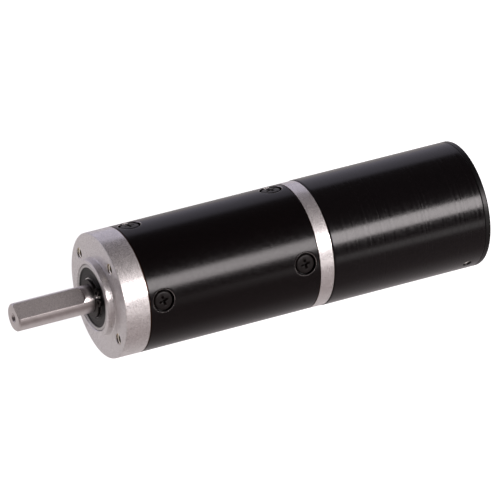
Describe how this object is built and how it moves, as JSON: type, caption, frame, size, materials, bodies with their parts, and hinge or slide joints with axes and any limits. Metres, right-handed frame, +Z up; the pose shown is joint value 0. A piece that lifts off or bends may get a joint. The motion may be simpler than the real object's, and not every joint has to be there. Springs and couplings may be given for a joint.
{
  "type": "planetary gearmotor",
  "caption": "Round planetary gearmotor with a flatted output shaft on ball bearings, a threaded front flange with pilot boss, sun and planet stages in a black sleeve, and a brushed motor.",
  "frame": {"origin": "centre of the front mounting face, on the shaft's axis", "axes": "-X out along the output shaft, +X back through the gearbox and motor, +Z up"},
  "size_m": [0.1439, 0.0362, 0.0362],
  "materials": {
    "bearing_steel": "ground",
    "black_anodised": "satin black anodised",
    "black_can": "satin black over fine turning",
    "black_cover": "satin black",
    "black_screws": "black oxide",
    "black_spring_steel": "phosphated black",
    "brass": "stamped",
    "cage_steel": "pressed",
    "carbon": "pressed carbon",
    "carrier_steel": "machined",
    "copper": "turned",
    "core_steel": "laminated",
    "enamelled_copper": "enamelled wire",
    "ferrite": "sintered",
    "fibre_board": "pressed board",
    "gear_steel": "hobbed and hardened",
    "ground_steel": "ground",
    "moulded_plastic": "moulded",
    "pin_steel": "ground",
    "polished_steel": "polished",
    "seal_rubber": "smooth",
    "sintered_bronze": "sintered",
    "spring_steel": "drawn wire",
    "turned_aluminium": "fine turned, bare",
    "washer_steel": "stamped",
    "zinc_screws": "zinc plated"
  },
  "bodies": {
    "housing": {"front_flange": "turned_aluminium", "gearbox_sleeve": "black_anodised", "sleeve_screws_front": "black_screws", "sleeve_screws_rear": "black_screws", "ring_gear": "gear_steel", "front_bearing_outer_race": "bearing_steel", "front_bearing_seals": "seal_rubber", "rear_bearing_outer_race": "bearing_steel", "rear_bearing_seals": "seal_rubber", "bearing_circlip": "black_spring_steel", "thrust_washers": "washer_steel", "gear_guard_plate": "washer_steel", "motor_adapter": "turned_aluminium", "motor_screws": "zinc_screws", "motor_can": "black_can", "motor_magnets": "ferrite", "motor_front_bush": "sintered_bronze", "motor_rear_bush": "sintered_bronze", "brush_plate": "fibre_board", "brush_holders": "brass", "carbon_brushes": "carbon", "brush_springs": "spring_steel", "terminals": "brass", "rear_cover": "black_cover", "cover_screws": "zinc_screws"},
    "output": {"output_shaft": "ground_steel", "output_carrier": "carrier_steel", "output_pins": "pin_steel", "front_bearing_inner_race": "bearing_steel", "rear_bearing_inner_race": "bearing_steel", "bearing_spacer": "ground_steel", "shaft_circlip": "black_spring_steel"},
    "front_ball_set": {"front_bearing_balls": "polished_steel", "front_bearing_cage": "cage_steel"},
    "rear_ball_set": {"rear_bearing_balls": "polished_steel", "rear_bearing_cage": "cage_steel"},
    "middle_stage": {"output_sun": "gear_steel", "middle_carrier": "carrier_steel", "middle_pins": "pin_steel"},
    "first_stage": {"middle_sun": "gear_steel", "first_carrier": "carrier_steel", "first_pins": "pin_steel"},
    "rotor": {"rotor_shaft": "ground_steel", "motor_pinion": "gear_steel", "armature_core": "core_steel", "armature_coils": "enamelled_copper", "commutator_core": "moulded_plastic", "commutator_bars": "copper"},
    "output_planet_1": {"output_planet_1": "gear_steel"},
    "output_planet_2": {"output_planet_2": "gear_steel"},
    "output_planet_3": {"output_planet_3": "gear_steel"},
    "middle_planet_1": {"middle_planet_1": "gear_steel"},
    "middle_planet_2": {"middle_planet_2": "gear_steel"},
    "middle_planet_3": {"middle_planet_3": "gear_steel"},
    "first_planet_1": {"first_planet_1": "gear_steel"},
    "first_planet_2": {"first_planet_2": "gear_steel"},
    "first_planet_3": {"first_planet_3": "gear_steel"}
  },
  "joints": [
    {"name": "output_spin", "type": "hinge", "parent": "housing", "child": "output", "pos_m": [0, 0, 0], "axis": [1, 0, 0], "continuous": true},
    {"name": "front_ball_spin", "type": "hinge", "parent": "housing", "child": "front_ball_set", "pos_m": [0, 0, 0], "axis": [1, 0, 0], "continuous": true},
    {"name": "rear_ball_spin", "type": "hinge", "parent": "housing", "child": "rear_ball_set", "pos_m": [0, 0, 0], "axis": [1, 0, 0], "continuous": true},
    {"name": "middle_stage_spin", "type": "hinge", "parent": "housing", "child": "middle_stage", "pos_m": [0, 0, 0], "axis": [1, 0, 0], "continuous": true},
    {"name": "first_stage_spin", "type": "hinge", "parent": "housing", "child": "first_stage", "pos_m": [0, 0, 0], "axis": [1, 0, 0], "continuous": true},
    {"name": "rotor_spin", "type": "hinge", "parent": "housing", "child": "rotor", "pos_m": [0, 0, 0], "axis": [1, 0, 0], "continuous": true},
    {"name": "output_planet_1_spin", "type": "hinge", "parent": "output", "child": "output_planet_1", "pos_m": [0.02605, 0.009, 0], "axis": [1, 0, 0], "continuous": true},
    {"name": "output_planet_2_spin", "type": "hinge", "parent": "output", "child": "output_planet_2", "pos_m": [0.02605, -0.0045, 0.00779], "axis": [1, 0, 0], "continuous": true},
    {"name": "output_planet_3_spin", "type": "hinge", "parent": "output", "child": "output_planet_3", "pos_m": [0.02605, -0.0045, -0.00779], "axis": [1, 0, 0], "continuous": true},
    {"name": "middle_planet_1_spin", "type": "hinge", "parent": "middle_stage", "child": "middle_planet_1", "pos_m": [0.03765, 0.0045, 0.00779], "axis": [1, 0, 0], "continuous": true},
    {"name": "middle_planet_2_spin", "type": "hinge", "parent": "middle_stage", "child": "middle_planet_2", "pos_m": [0.03765, -0.009, 0], "axis": [1, 0, 0], "continuous": true},
    {"name": "middle_planet_3_spin", "type": "hinge", "parent": "middle_stage", "child": "middle_planet_3", "pos_m": [0.03765, 0.0045, -0.00779], "axis": [1, 0, 0], "continuous": true},
    {"name": "first_planet_1_spin", "type": "hinge", "parent": "first_stage", "child": "first_planet_1", "pos_m": [0.04725, 0.009, 0], "axis": [1, 0, 0], "continuous": true},
    {"name": "first_planet_2_spin", "type": "hinge", "parent": "first_stage", "child": "first_planet_2", "pos_m": [0.04725, -0.0045, 0.00779], "axis": [1, 0, 0], "continuous": true},
    {"name": "first_planet_3_spin", "type": "hinge", "parent": "first_stage", "child": "first_planet_3", "pos_m": [0.04725, -0.0045, -0.00779], "axis": [1, 0, 0], "continuous": true}
  ],
  "couplings": [
    {"joint": "front_ball_spin", "follows": "output_spin", "ratio": 0.38148},
    {"joint": "rear_ball_spin", "follows": "output_spin", "ratio": 0.38148},
    {"joint": "middle_stage_spin", "follows": "output_spin", "ratio": 4},
    {"joint": "first_stage_spin", "follows": "output_spin", "ratio": 16},
    {"joint": "rotor_spin", "follows": "output_spin", "ratio": 64},
    {"joint": "output_planet_1_spin", "follows": "output_spin", "ratio": -3},
    {"joint": "output_planet_2_spin", "follows": "output_spin", "ratio": -3},
    {"joint": "output_planet_3_spin", "follows": "output_spin", "ratio": -3},
    {"joint": "middle_planet_1_spin", "follows": "output_spin", "ratio": -12},
    {"joint": "middle_planet_2_spin", "follows": "output_spin", "ratio": -12},
    {"joint": "middle_planet_3_spin", "follows": "output_spin", "ratio": -12},
    {"joint": "first_planet_1_spin", "follows": "output_spin", "ratio": -48},
    {"joint": "first_planet_2_spin", "follows": "output_spin", "ratio": -48},
    {"joint": "first_planet_3_spin", "follows": "output_spin", "ratio": -48}
  ]
}
